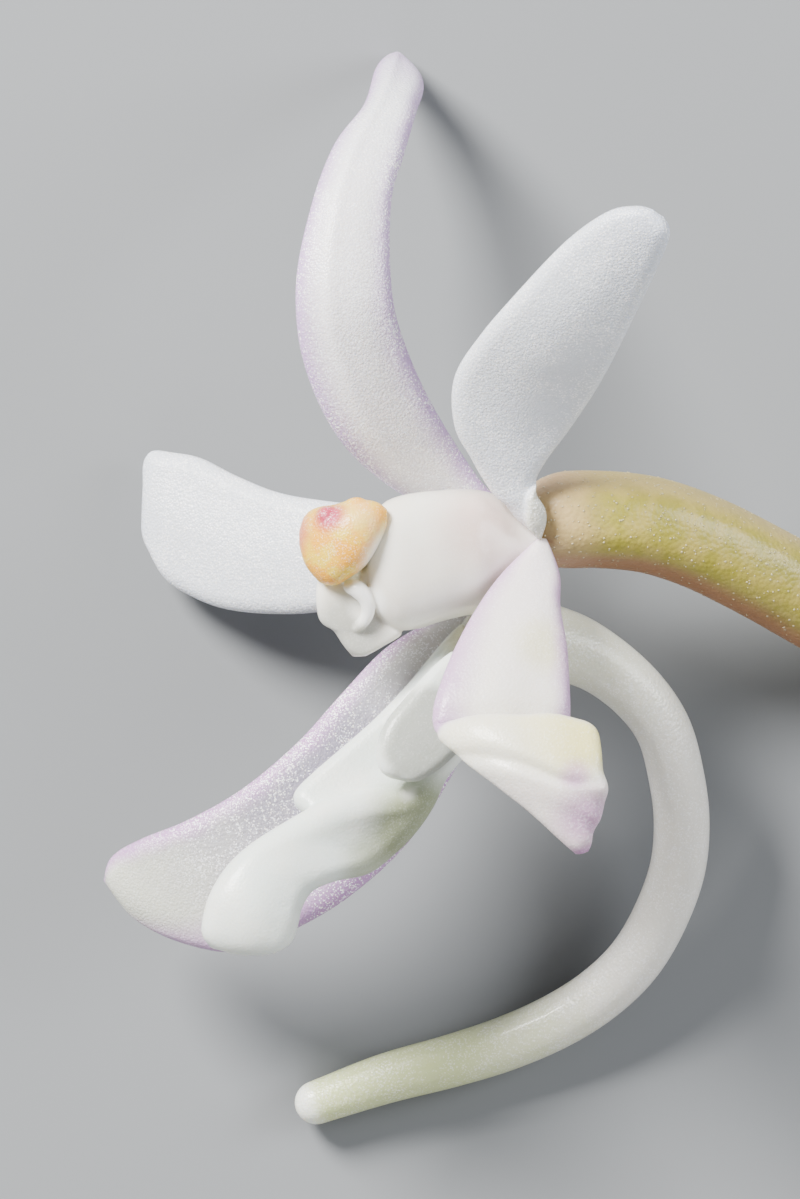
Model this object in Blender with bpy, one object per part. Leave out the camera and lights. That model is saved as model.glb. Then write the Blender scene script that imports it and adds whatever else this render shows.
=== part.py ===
"""One wind orchid bloom, lying on a surface as picked, with its cut stalk.

Metres, +Z up. Lengths below are millimetres. The flower's joint, where every blade meets the ovary, is the
origin that all outlines are measured from; JOINT places it so that the bloom's box stands centred on the origin
with its lowest point at zero.
"""

import math

import bmesh
import bpy
import numpy as np

MM = 0.001
JOINT = (-0.045, 0.99, 4.38)
FLOOR = -JOINT[2]

SEPAL_THICKNESS = 0.62
PETAL_THICKNESS = 0.60
LIP_THICKNESS = 0.95
SIDE_LOBE_THICKNESS = 0.60
RIM = 0.45
SPUR_RADIUS = 0.62
SPUR_MOUTH_RADIUS = 0.85
STALK_RADIUS = 1.04
GAP = 0.10

STEPS_ALONG = 18
STEPS_ACROSS = 10
SIDES = 16

# Blade outlines: each row goes from one margin to the other, from the base of the blade to its tip, as
# left x, y, z, right x, y, z and the height of the middle above the straight line between the margins.
DORSAL_SEPAL = [
    (-1.41, 0.48, -1.00, -0.54, 0.76, -1.00, 0.00),
    (-2.93, 1.00, -0.70, -1.24, 1.24, -0.70, 0.10),
    (-4.30, 2.13, 0.25, -2.26, 2.80, 0.20, 0.22),
    (-5.11, 3.76, 1.00, -2.93, 4.22, 0.85, 0.28),
    (-5.30, 5.46, 1.35, -3.24, 5.43, 1.15, 0.30),
    (-4.98, 7.15, 1.00, -3.24, 7.28, 0.80, 0.28),
    (-4.50, 8.52, 0.00, -2.96, 8.37, -0.10, 0.24),
    (-3.85, 9.39, -1.25, -2.70, 9.28, -1.20, 0.18),
    (-3.59, 10.28, -2.95, -2.54, 9.96, -2.85, 0.10),
    (-3.33, 10.65, FLOOR, -2.98, 10.48, FLOOR, 0.00),
]
LEFT_PETAL = [
    (-0.76, 0.22, -0.90, -0.87, -0.43, -0.90, 0.00),
    (-1.96, 0.43, -1.10, -2.07, -0.87, -1.10, 0.05),
    (-3.26, 0.72, -1.50, -3.48, -1.30, -1.50, 0.12),
    (-4.59, 0.85, -2.00, -4.83, -1.57, -2.00, 0.18),
    (-5.67, 1.04, -2.50, -5.87, -1.61, -2.50, 0.20),
    (-6.61, 1.41, -3.00, -6.85, -1.50, -3.00, 0.20),
    (-7.39, 1.80, -3.40, -7.61, -1.22, -3.40, 0.18),
    (-8.02, 1.93, -3.70, -8.15, -0.87, -3.65, 0.15),
    (-8.46, 1.96, -3.88, -8.42, -0.35, -3.80, 0.10),
    (-8.56, 1.70, -3.98, -8.54, 0.22, -3.95, 0.00),
]
RIGHT_PETAL = [
    (-0.35, 0.17, 0.75, 0.07, 0.43, 0.75, 0.00),
    (-0.80, 0.76, 0.95, -0.35, 0.83, 0.95, 0.02),
    (-1.30, 1.43, 1.20, 0.02, 1.52, 1.10, 0.08),
    (-1.87, 2.50, 1.80, 0.61, 2.39, 1.50, 0.18),
    (-1.87, 3.50, 2.40, 1.13, 3.17, 2.10, 0.24),
    (-1.30, 4.43, 3.10, 1.57, 3.96, 2.90, 0.26),
    (-0.43, 5.43, 3.85, 2.00, 4.80, 3.70, 0.24),
    (0.57, 6.46, 4.50, 2.41, 5.65, 4.40, 0.20),
    (1.37, 7.02, 4.95, 2.70, 6.28, 4.90, 0.12),
    (2.17, 7.20, 5.20, 2.78, 6.72, 5.15, 0.00),
]
LEFT_LATERAL_SEPAL = [
    (-1.09, -1.09, -1.00, -0.26, -1.57, -1.00, 0.00),
    (-2.28, -1.70, -1.05, -0.76, -2.61, -1.05, 0.05),
    (-3.35, -2.35, -0.90, -1.30, -3.80, -0.90, 0.00),
    (-4.30, -3.33, -0.60, -1.91, -5.11, -0.65, -0.15),
    (-5.30, -4.43, -0.40, -2.83, -6.54, -0.45, -0.20),
    (-6.50, -5.43, -0.40, -4.09, -7.72, -0.40, -0.15),
    (-7.68, -6.10, -0.65, -5.28, -8.45, -0.60, 0.00),
    (-8.66, -6.50, -1.05, -6.43, -8.95, -1.00, 0.10),
    (-9.30, -6.88, -1.50, -7.78, -8.74, -1.45, 0.15),
    (-9.54, -7.43, -1.80, -8.85, -8.05, -1.80, 0.00),
]
RIGHT_LATERAL_SEPAL = [
    (-0.15, 0.00, 0.85, 0.22, 0.04, 0.85, 0.00),
    (-0.83, -0.76, 1.20, 0.41, -0.76, 1.15, 0.10),
    (-1.41, -1.57, 1.75, 0.43, -1.48, 1.60, 0.18),
    (-1.91, -2.50, 2.40, 0.57, -2.39, 2.20, 0.24),
    (-2.26, -3.39, 2.95, 0.63, -3.37, 2.75, 0.26),
    (-2.33, -3.91, 3.15, 0.65, -3.96, 2.95, 0.20),
    (-2.17, -4.30, 3.20, 0.61, -4.57, 2.90, 0.00),
]
FOLDED_END = [
    (-2.04, -3.96, 3.35, 1.25, -4.16, 3.60, 0.05),
    (-1.96, -4.46, 3.50, 1.30, -4.89, 4.10, 0.30),
    (-1.24, -5.00, 3.75, 1.43, -5.37, 4.20, 0.28),
    (-0.35, -5.72, 3.90, 1.28, -5.93, 4.10, 0.18),
    (0.43, -6.48, 3.95, 1.09, -6.35, 4.00, 0.06),
    (0.74, -6.78, 3.95, 1.00, -6.70, 3.95, 0.00),
]
MIDDLE_LOBE = [
    (-1.70, -2.17, 0.20, -0.54, -2.50, 0.20, 0.00),
    (-2.39, -3.48, 0.40, -0.98, -3.80, 0.40, 0.00),
    (-3.15, -5.00, 0.80, -1.70, -4.78, 0.75, 0.00),
    (-4.11, -5.70, 1.10, -2.35, -5.61, 0.95, 0.05),
    (-4.91, -6.07, 1.40, -2.87, -6.57, 1.15, 0.15),
    (-5.65, -6.35, 1.65, -3.65, -7.26, 1.40, 0.25),
    (-6.37, -6.80, 1.85, -4.67, -7.46, 1.65, 0.32),
    (-6.85, -7.43, 1.95, -5.17, -7.93, 1.80, 0.35),
    (-7.20, -8.07, 1.95, -5.24, -8.37, 1.85, 0.30),
    (-7.33, -8.63, 1.85, -5.43, -8.70, 1.80, 0.18),
    (-7.07, -8.91, 1.75, -5.83, -9.00, 1.75, 0.00),
]
FAR_SIDE_LOBE = [
    (-2.02, -1.78, 0.00, -1.09, -2.28, 0.05, 0.00),
    (-2.59, -2.22, 0.10, -1.70, -3.26, 0.15, 0.05),
    (-3.28, -3.13, 0.30, -2.35, -4.17, 0.30, 0.10),
    (-3.93, -3.89, 0.50, -2.93, -5.00, 0.45, 0.12),
    (-4.67, -4.63, 0.60, -3.65, -5.65, 0.60, 0.12),
    (-5.22, -5.17, 0.70, -4.43, -5.98, 0.70, 0.08),
    (-5.43, -5.50, 0.70, -5.04, -5.91, 0.70, 0.00),
]
NEAR_SIDE_LOBE = [
    (-2.07, -2.39, 0.95, -1.09, -3.04, 0.80, 0.00),
    (-2.43, -3.04, 1.25, -1.30, -3.59, 1.10, 0.05),
    (-3.00, -3.74, 1.45, -1.52, -4.13, 1.30, 0.10),
    (-3.39, -4.26, 1.55, -1.74, -4.57, 1.40, 0.12),
    (-3.57, -4.72, 1.60, -2.07, -4.96, 1.45, 0.10),
    (-3.41, -5.09, 1.60, -2.57, -5.24, 1.50, 0.00),
]
COLUMN_BEAK = [
    (-4.67, -0.65, 0.85, -3.04, -0.65, 0.85, 0.00),
    (-4.87, -1.20, 0.90, -3.00, -1.30, 0.90, 0.05),
    (-4.83, -1.70, 0.92, -2.93, -2.00, 0.92, 0.08),
    (-4.50, -2.17, 0.90, -3.37, -2.33, 0.90, 0.05),
    (-4.13, -2.52, 0.85, -3.74, -2.50, 0.85, 0.00),
]

# Rounded bodies: each row is a centre x, y, z with the half width and the half height of the section there.
COLUMN = [
    (-0.22, -0.11, 0.10, 0.50, 0.45),
    (-0.76, -0.17, 0.35, 1.05, 0.75),
    (-1.52, -0.28, 0.55, 1.35, 0.95),
    (-2.39, -0.43, 0.70, 1.45, 1.00),
    (-3.15, -0.43, 0.85, 1.30, 0.95),
    (-3.65, -0.39, 0.95, 0.95, 0.65),
]
ANTHER_CAP = [
    (-3.22, 0.00, 1.50, 0.60, 0.40),
    (-3.65, -0.02, 1.55, 0.93, 0.66),
    (-4.24, -0.07, 1.50, 0.98, 0.74),
    (-4.78, -0.13, 1.35, 0.80, 0.62),
    (-5.13, -0.17, 1.25, 0.42, 0.36),
]
SPUR_LINE = [
    (-1.30, -2.00, 0.10),
    (-0.43, -2.09, -0.20),
    (0.54, -2.30, -0.55),
    (1.37, -2.70, -0.80),
    (2.15, -3.35, -1.10),
    (2.70, -4.13, -1.45),
    (2.98, -5.11, -1.85),
    (3.11, -6.13, -2.25),
    (3.02, -7.20, -2.60),
    (2.63, -8.28, -2.95),
    (2.08, -9.20, -3.20),
    (1.32, -9.94, -3.45),
    (0.38, -10.54, -3.65),
    (-0.76, -11.04, -3.76),
    (-1.96, -11.42, FLOOR + 0.60),
    (-3.37, -11.80, FLOOR + 0.58),
    (-4.87, -12.32, -3.80),
]
STALK_LINE = [
    (-0.20, 0.60, 0.00),
    (0.33, 0.37, -0.05),
    (1.30, 0.45, -0.25),
    (2.39, 0.33, -0.60),
    (3.48, -0.02, -1.05),
    (4.57, -0.54, -1.60),
    (5.65, -1.13, -2.20),
    (7.17, -2.02, -2.90),
    (9.05, -3.17, -3.40),
]


def material(name, colour, roughness):
    made = bpy.data.materials.new(name)
    made.use_nodes = True
    shader = made.node_tree.nodes["Principled BSDF"]
    shader.inputs["Base Color"].default_value = (*colour, 1.0)
    shader.inputs["Roughness"].default_value = roughness
    shader.inputs["Metallic"].default_value = 0.0
    made.diffuse_color = (*colour, 1.0)
    return made


def spline(points, samples):
    """Points of a smooth curve through the given ones, at samples from 0 to 1."""
    p = np.asarray(points, float)
    spans = len(p) - 1
    p = np.concatenate([[2 * p[0] - p[1]], p, [2 * p[-1] - p[-2]]])
    at = np.clip(np.asarray(samples) * spans, 0, spans)
    k = np.minimum(at.astype(int), spans - 1)
    f = (at - k).reshape((-1,) + (1,) * (p.ndim - 1))
    a, b, c, d = p[k], p[k + 1], p[k + 2], p[k + 3]
    return 0.5 * (2 * b + (c - a) * f + (2 * a - 5 * b + 4 * c - d) * f**2 + (3 * b - a - 3 * c + d) * f**3)


def rounded(distance, reach):
    """1 inside a blade, falling to 0 at its rim along a quarter ellipse."""
    return np.sqrt(1 - (1 - np.clip(distance / reach, 0, 1)) ** 2)


def mesh_object(name, points, faces, parent, surface=None):
    mesh = bpy.data.meshes.new(name)
    mesh.from_pydata([tuple(MM * float(c) for c in p) for p in points], [], faces)
    clean(mesh)
    obj = bpy.data.objects.new(name, mesh)
    bpy.context.scene.collection.objects.link(obj)
    obj.parent = parent
    if surface:
        mesh.materials.append(surface)
    return obj


def clean(mesh):
    """Outward faces, no slivers, only the largest closed shell, smooth shading."""
    body = bmesh.new()
    body.from_mesh(mesh)
    bmesh.ops.remove_doubles(body, verts=body.verts, dist=0.002 * MM)
    bmesh.ops.dissolve_degenerate(body, edges=body.edges, dist=0.002 * MM)
    bmesh.ops.triangulate(body, faces=body.faces)
    shells, seen = [], set()
    for start in body.verts:
        if start in seen:
            continue
        shell, queue = [], [start]
        seen.add(start)
        while queue:
            vert = queue.pop()
            shell.append(vert)
            for edge in vert.link_edges:
                other = edge.other_vert(vert)
                if other not in seen:
                    seen.add(other)
                    queue.append(other)
        shells.append(shell)
    shells.sort(key=len)
    for shell in shells[:-1]:
        bmesh.ops.delete(body, geom=shell, context="VERTS")
    bmesh.ops.recalc_face_normals(body, faces=body.faces)
    for face in body.faces:
        face.smooth = True
    body.to_mesh(mesh)
    body.free()


def blade(name, outline, thickness, parent, surface=None):
    """A leaf-like body: a sheet through the outline's rows, thickened both ways and rounded off at its rim."""
    rows = np.array(outline)
    left, right, crown = rows[:, 0:3], rows[:, 3:6], rows[:, 6:7]
    middle = (left + right) / 2 + crown * np.array([0, 0, 1])
    net = np.stack([left, middle, right], axis=1)
    i = np.arange(STEPS_ALONG + 1) / STEPS_ALONG
    j = np.arange(STEPS_ACROSS + 1) / STEPS_ACROSS
    along = 0.5 * i + 0.5 * (0.5 - 0.5 * np.cos(math.pi * i))
    across = 0.5 - 0.5 * np.cos(math.pi * j)
    sheet = spline(net, along)
    sheet = spline(sheet.transpose(1, 0, 2), across).transpose(1, 0, 2)
    normal = np.cross(np.gradient(sheet, axis=0), np.gradient(sheet, axis=1))
    normal /= np.linalg.norm(normal, axis=2, keepdims=True)

    def travelled(points, axis):
        step = np.linalg.norm(np.diff(points, axis=axis), axis=2)
        return np.cumsum(np.insert(step, 0, 0, axis=axis), axis=axis)

    down, over = travelled(sheet, 0), travelled(sheet, 1)
    edge = rounded(np.minimum(over, over[:, -1:] - over), RIM) * rounded(np.minimum(down, down[-1:] - down), RIM)
    lift = normal * edge[..., None] * thickness / 2
    columns = STEPS_ACROSS + 1
    count = (STEPS_ALONG + 1) * columns
    points = np.concatenate([(sheet + lift).reshape(-1, 3), (sheet - lift).reshape(-1, 3)])

    def lower(k):
        row, column = divmod(k, columns)
        on_rim = row in (0, STEPS_ALONG) or column in (0, STEPS_ACROSS)
        return k if on_rim else k + count

    faces = []
    for row in range(STEPS_ALONG):
        for column in range(STEPS_ACROSS):
            a = row * columns + column
            b, c, d = a + 1, a + columns + 1, a + columns
            for three in ((a, b, c), (a, c, d)):
                faces.append(three)
                faces.append(tuple(lower(k) for k in reversed(three)))
    used = sorted({k for face in faces for k in face})
    place = {k: n for n, k in enumerate(used)}
    faces = [tuple(place[k] for k in face) for face in faces if len(set(face)) == 3]
    return mesh_object(name, points[used], faces, parent, surface)


def rings(name, loops, parent, surface=None):
    """A closed body skinned over a row of equal loops, with a flat cap at each end."""
    count, sides = loops.shape[:2]
    faces = []
    for row in range(count - 1):
        for k in range(sides):
            a, b = row * sides + k, row * sides + (k + 1) % sides
            faces.append((a, b, b + sides, a + sides))
    faces.append(tuple(range(sides))[::-1])
    faces.append(tuple((count - 1) * sides + k for k in range(sides)))
    return mesh_object(name, loops.reshape(-1, 3), faces, parent, surface)


def tube(name, line, radii, steps, parent, surface=None, blunt_start=True, blunt_end=True):
    """A round stem along a smooth line; a blunt end is a half round, the other kind is cut square."""
    at = np.arange(steps + 1) / steps
    centre, radius = spline(line, at), spline(np.array(radii)[:, None], at)[:, 0]
    ahead = np.gradient(centre, axis=0)
    ahead /= np.linalg.norm(ahead, axis=1, keepdims=True)
    side = np.cross(ahead, [0, 0, 1])
    side /= np.linalg.norm(side, axis=1, keepdims=True)
    up = np.cross(side, ahead)
    turn = 2 * math.pi * (np.arange(SIDES) + 0.5) / SIDES
    loops = []

    def loop(k, shift, share):
        ring = np.cos(turn)[:, None] * side[k] + np.sin(turn)[:, None] * up[k]
        loops.append(centre[k] + ahead[k] * shift * radius[k] + ring * radius[k] * share)

    dome = [math.radians(a) for a in (10, 35, 60)]
    if blunt_start:
        for a in dome:
            loop(0, -math.cos(a), math.sin(a))
    for k in range(steps + 1):
        loop(k, 0, 1)
    if blunt_end:
        for a in reversed(dome):
            loop(steps, math.cos(a), math.sin(a))
    return rings(name, np.array(loops), parent, surface)


def lofted(name, rows, steps, parent, surface=None):
    """An egg-like body through oval sections that stand across the X axis."""
    rows = np.array(rows)
    at = 0.5 - 0.5 * np.cos(math.pi * np.arange(steps + 1) / steps)
    sections = spline(rows, at)
    turn = 2 * math.pi * np.arange(SIDES) / SIDES
    loops = []
    first, last = sections[0], sections[-1]
    span = 0.35 * np.sign(first[0] - last[0])
    ends = [(first, 0.35, 0.9), (first, 0.8, 0.5)]
    for x, y, z, wide, high in [(s[0] + span * a * s[4], *s[1:3], *(s[3:5] * c)) for s, c, a in ends]:
        loops.append([(x, y + wide * math.cos(t), z + high * math.sin(t)) for t in turn])
    for x, y, z, wide, high in sections:
        loops.append([(x, y + wide * math.cos(t), z + high * math.sin(t)) for t in turn])
    for share, ahead in ((0.8, 0.5), (0.35, 0.9)):
        x, y, z, wide, high = last
        loops.append(
            [(x - span * ahead * high, y + share * wide * math.cos(t), z + share * high * math.sin(t)) for t in turn]
        )
    return rings(name, np.array(loops), parent, surface)


def grown(obj, by):
    """A copy of a body that stands out from it by an even gap, used to cut its neighbours clear of it."""
    mesh = obj.data.copy()
    normals = [v.normal.copy() for v in mesh.vertices]
    for vert, normal in zip(mesh.vertices, normals):
        vert.co += normal * by * MM
    copy = bpy.data.objects.new(obj.name + "_clearance", mesh)
    bpy.context.scene.collection.objects.link(copy)
    copy.parent = obj.parent
    return copy


def combine(obj, tools, operation):
    """Joins the tools to a body, or takes them from it, and leaves one plain mesh."""
    for tool in tools:
        step = obj.modifiers.new(operation.title(), "BOOLEAN")
        step.operation, step.object, step.solver = operation, tool, "EXACT"
    bpy.context.view_layer.update()
    made = bpy.data.meshes.new_from_object(obj.evaluated_get(bpy.context.evaluated_depsgraph_get()))
    obj.modifiers.clear()
    old, obj.data = obj.data, made
    made.name = obj.name
    clean(made)
    bpy.data.meshes.remove(old)
    for tool in tools:
        shape = tool.data
        bpy.data.objects.remove(tool)
        bpy.data.meshes.remove(shape)


def near(one, other):
    """Whether the boxes of two bodies come within a gap of each other."""
    a = np.array([v.co for v in one.data.vertices])
    b = np.array([v.co for v in other.data.vertices])
    reach = 2 * GAP * MM
    return bool(np.all(a.min(0) - reach < b.max(0)) and np.all(b.min(0) - reach < a.max(0)))


for old in list(bpy.data.objects):
    bpy.data.objects.remove(old)

bloom = bpy.data.objects.new("bloom", None)
bpy.context.scene.collection.objects.link(bloom)
bloom.location = [MM * c for c in JOINT]

white = material("petal_white", (0.86, 0.86, 0.90), 0.45)
blush = material("sepal_blush", (0.84, 0.80, 0.87), 0.45)
ivory = material("lip_ivory", (0.84, 0.85, 0.80), 0.35)
cream = material("column_cream", (0.88, 0.85, 0.82), 0.40)
yellow = material("anther_yellow", (0.88, 0.62, 0.30), 0.45)
olive = material("stalk_olive", (0.56, 0.48, 0.24), 0.45)

# The cap that covers the pollen, on the end of the column.
anther_cap = lofted("anther_cap", ANTHER_CAP, 7, bloom, yellow)

# The column, with the pointed beak under its end.
column = lofted("column", COLUMN, 9, bloom, cream)
combine(column, [blade("beak", COLUMN_BEAK, 0.62, bloom)], "UNION")

# The lip grows in one piece with its nectar spur: a fleshy middle lobe, two side lobes and the long hollow tail.
lip_and_spur = blade("lip_and_spur", MIDDLE_LOBE, LIP_THICKNESS, bloom, ivory)
spur_radii = [0.75, SPUR_MOUTH_RADIUS, 0.80, 0.70, 0.65] + [SPUR_RADIUS] * 8 + [0.62, 0.59, 0.56, 0.50]
combine(
    lip_and_spur,
    [
        blade("far_side_lobe", FAR_SIDE_LOBE, SIDE_LOBE_THICKNESS, bloom),
        blade("near_side_lobe", NEAR_SIDE_LOBE, SIDE_LOBE_THICKNESS, bloom),
        tube("spur", SPUR_LINE, spur_radii, 40, bloom),
    ],
    "UNION",
)

# The front sepal: its outer end is folded forward over itself.
right_lateral_sepal = blade("right_lateral_sepal", RIGHT_LATERAL_SEPAL, SEPAL_THICKNESS, bloom, blush)
combine(right_lateral_sepal, [blade("folded_end", FOLDED_END, SEPAL_THICKNESS, bloom)], "UNION")

# The other blades.
right_petal = blade("right_petal", RIGHT_PETAL, PETAL_THICKNESS, bloom, white)
left_petal = blade("left_petal", LEFT_PETAL, PETAL_THICKNESS, bloom, white)
dorsal_sepal = blade("dorsal_sepal", DORSAL_SEPAL, SEPAL_THICKNESS, bloom, blush)
left_lateral_sepal = blade("left_lateral_sepal", LEFT_LATERAL_SEPAL, SEPAL_THICKNESS, bloom, blush)

# The stalk, which swells into the ovary under the flower and is cut square at its far end.
stalk_radii = [0.45, 0.92, 1.05, 1.06, 1.05, 1.04, 1.03, 1.02, 1.02]
pedicel_and_ovary = tube(
    "pedicel_and_ovary", STALK_LINE, stalk_radii, 24, bloom, olive, blunt_end=False
)

# Each piece is cut clear of the ones before it, so that no two share any space.
placed = []
for piece in (
    anther_cap,
    column,
    right_lateral_sepal,
    right_petal,
    lip_and_spur,
    dorsal_sepal,
    left_petal,
    left_lateral_sepal,
    pedicel_and_ovary,
):
    tools = [grown(other, GAP) for other in placed if near(piece, other)]
    if tools:
        combine(piece, tools, "DIFFERENCE")
    placed.append(piece)
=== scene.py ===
import math

import bmesh
import bpy
import numpy as np
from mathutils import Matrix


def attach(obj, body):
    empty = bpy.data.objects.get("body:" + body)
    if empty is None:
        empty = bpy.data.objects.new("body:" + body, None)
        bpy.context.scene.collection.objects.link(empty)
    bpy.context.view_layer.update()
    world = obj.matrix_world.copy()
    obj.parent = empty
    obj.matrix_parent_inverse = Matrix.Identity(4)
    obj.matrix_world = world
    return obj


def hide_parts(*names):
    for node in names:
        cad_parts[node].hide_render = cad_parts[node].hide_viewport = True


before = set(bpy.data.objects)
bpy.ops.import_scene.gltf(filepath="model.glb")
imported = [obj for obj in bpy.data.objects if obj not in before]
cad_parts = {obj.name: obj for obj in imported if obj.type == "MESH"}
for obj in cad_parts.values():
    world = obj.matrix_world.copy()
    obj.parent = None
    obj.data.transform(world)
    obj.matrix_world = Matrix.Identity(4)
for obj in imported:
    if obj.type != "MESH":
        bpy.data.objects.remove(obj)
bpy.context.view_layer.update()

MM = 0.001
# Where the organs of the bloom meet. Every place below is in millimetres from here.
JOINT = np.array((-0.045, 0.99, 4.38))
STALK_LINE = [
    (-0.40, 0.40, -0.25),
    (0.33, 0.43, -0.05),
    (1.30, 0.45, -0.25),
    (2.39, 0.33, -0.60),
    (3.48, -0.02, -1.05),
    (4.57, -0.54, -1.60),
    (5.65, -1.13, -2.20),
    (7.17, -2.02, -2.90),
    (9.05, -3.17, -3.40),
]
STALK_RADII = [0.62, 1.00, 1.04, 1.04, 1.03, 1.03, 1.03, 1.02, 1.01]
STALK_RINGS = 260
STALK_FACETS = 80
STALK_RIBS = 6
STALK_RIB_DEPTH = 0.02
WART_RADIUS = 0.026
WARTS_PER_MM2 = 26
WART_SEED = 7
OLIVE = (0.34, 0.30, 0.04)
TAN = (0.44, 0.36, 0.08)
PINK_TAN = (0.46, 0.34, 0.15)
BROWN_BLUSH = (0.34, 0.15, 0.09)
FOOT_PINK = (0.56, 0.35, 0.25)
FOOT_PALE = (0.64, 0.48, 0.40)
WART_CREAM = (0.76, 0.68, 0.42)
# The steps of a stem's rounded end. For a cut end: how far past the line's end, and the share of its radius.
DOME_ARC = np.radians(np.arange(4, 90, 8))
CUT_EDGE = [(0.004, 0.995), (0.010, 0.975), (0.016, 0.93), (0.020, 0.5), (0.022, 0.02)]


class Varying:
    """A value that changes over a surface; arithmetic on it adds Math nodes."""

    def __init__(self, nodes, socket):
        self.nodes, self.socket = nodes, socket

    def maths(self, operation, *values):
        return self.nodes.node("ShaderNodeMath", {"operation": operation}, dict(enumerate(values)))

    def __add__(self, other):
        return self.maths("ADD", self, other)

    def __radd__(self, other):
        return self.maths("ADD", other, self)

    def __sub__(self, other):
        return self.maths("SUBTRACT", self, other)

    def __rsub__(self, other):
        return self.maths("SUBTRACT", other, self)

    def __mul__(self, other):
        return self.maths("MULTIPLY", self, other)

    def __rmul__(self, other):
        return self.maths("MULTIPLY", other, self)


class Nodes:
    """A node tree that is being filled in, for a tissue's colour or for a body that grows by rule."""

    def __init__(self, tree):
        self.tree = tree

    def node(self, kind, settings=None, values=None, output=0):
        made = self.tree.nodes.new(kind)
        for name, setting in (settings or {}).items():
            setattr(made, name, setting)
        for name, value in (values or {}).items():
            self.feed(made.inputs[name], value)
        return Varying(self, made.outputs[output])

    def feed(self, socket, value):
        if isinstance(value, Varying):
            self.tree.links.new(value.socket, socket)
        else:
            socket.default_value = value


class Tissue(Nodes):
    """Living plant tissue. Light sinks a little way into it, and its skin is a mosaic of small cells."""

    def __init__(self, name, roughness, glow, depth, coat):
        self.material = bpy.data.materials.new(name)
        self.material.use_nodes = True
        super().__init__(self.material.node_tree)
        self.shader = self.tree.nodes["Principled BSDF"]
        constants = {
            "Roughness": roughness,
            "Subsurface Weight": glow,
            "Subsurface Radius": (1.0, 0.9, 0.75),
            "Subsurface Scale": depth * MM,
            "Coat Weight": coat,
            "Coat Roughness": 0.12,
            "IOR": 1.42,
        }
        for socket, value in constants.items():
            self.shader.inputs[socket].default_value = value
        self.place = self.node("ShaderNodeTexCoord", output="Object")

    def step(self, value, low, high):
        """0 below low, 1 above high and a smooth rise between, or the fall where low is the larger."""
        if low > high:
            return 1 - self.step(value, high, low)
        return self.node(
            "ShaderNodeMapRange",
            {"interpolation_type": "SMOOTHSTEP"},
            {"Value": value, "From Min": low, "From Max": high},
        )

    def mix(self, share, under, over):
        full = [c if isinstance(c, Varying) else (*c, 1.0) for c in (under, over)]
        return self.node("ShaderNodeMix", {"data_type": "RGBA"}, {0: share, 6: full[0], 7: full[1]}, 2)

    def own(self, attribute, output="Fac"):
        return self.node("ShaderNodeAttribute", {"attribute_name": attribute}, output=output)

    def clouds(self, size, detail=2.0):
        """A soft random pattern whose patches are about this many millimetres across."""
        values = {"Vector": self.place, "Scale": 1 / (size * MM), "Detail": detail}
        return self.node("ShaderNodeTexNoise", {}, values)

    def cells(self, size, output="Distance"):
        return self.node("ShaderNodeTexVoronoi", {}, {"Vector": self.place, "Scale": 1 / (size * MM)}, output)

    def spot(self, centre, inner, outer):
        """1 within the inner distance of a place on the bloom and 0 past the outer one, in millimetres."""
        away = self.node(
            "ShaderNodeVectorMath",
            {"operation": "DISTANCE"},
            {0: self.place, 1: tuple((np.array(centre) + JOINT) * MM)},
            "Value",
        )
        return self.step(away, outer * MM, inner * MM)

    def skin(self, height, relief):
        """The bump of the skin: height from 0 to 1, relief in millimetres from its lowest to its highest."""
        bump = self.node("ShaderNodeBump", {}, {"Height": height, "Distance": relief * MM}, "Normal")
        self.feed(self.shader.inputs["Normal"], bump)

    def colour(self, value):
        self.feed(self.shader.inputs["Base Color"], value)


class Growth(Nodes):
    """A Geometry Nodes tree with named inputs, which grows one body from the mesh that it is given."""

    def __init__(self, name, inputs):
        super().__init__(bpy.data.node_groups.new(name, "GeometryNodeTree"))
        face = self.tree.interface
        face.new_socket(name="Geometry", in_out="INPUT", socket_type="NodeSocketGeometry")
        kinds = {float: "NodeSocketFloat", int: "NodeSocketInt"}
        self.sizes = {}
        for title, value in inputs.items():
            kind = kinds.get(type(value), "NodeSocketMaterial")
            self.sizes[face.new_socket(name=title, in_out="INPUT", socket_type=kind).identifier] = value
        face.new_socket(name="Geometry", in_out="OUTPUT", socket_type="NodeSocketGeometry")
        self.start = self.tree.nodes.new("NodeGroupInput")

    def given(self, title):
        return Varying(self, self.start.outputs[title])

    def named(self, attribute, kind="FLOAT"):
        return self.node("GeometryNodeInputNamedAttribute", {"data_type": kind}, {"Name": attribute})

    def keep(self, geometry, attribute, value, kind="FLOAT"):
        return self.node(
            "GeometryNodeStoreNamedAttribute",
            {"data_type": kind, "domain": "POINT"},
            {"Geometry": geometry, "Name": attribute, "Value": value},
        )

    def grow(self, obj, geometry, material):
        """Ends the tree, runs it on the object and leaves the plain mesh that it made."""
        geometry = self.node("GeometryNodeRealizeInstances", {}, {"Geometry": geometry})
        geometry = self.node("GeometryNodeSetMaterial", {}, {"Geometry": geometry, "Material": material})
        end = self.tree.nodes.new("NodeGroupOutput")
        self.feed(end.inputs["Geometry"], geometry)
        modifier = obj.modifiers.new("growth", "NODES")
        modifier.node_group = self.tree
        for identifier, value in self.sizes.items():
            modifier[identifier] = value
        made = evaluated_mesh(obj)
        obj.modifiers.remove(modifier)
        old, obj.data = obj.data, made
        made.name = obj.name
        bpy.data.meshes.remove(old)
        return obj


def evaluated_mesh(obj):
    """The plain mesh that an object's modifiers make of it."""
    bpy.context.view_layer.update()
    return bpy.data.meshes.new_from_object(obj.evaluated_get(bpy.context.evaluated_depsgraph_get()))


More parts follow.
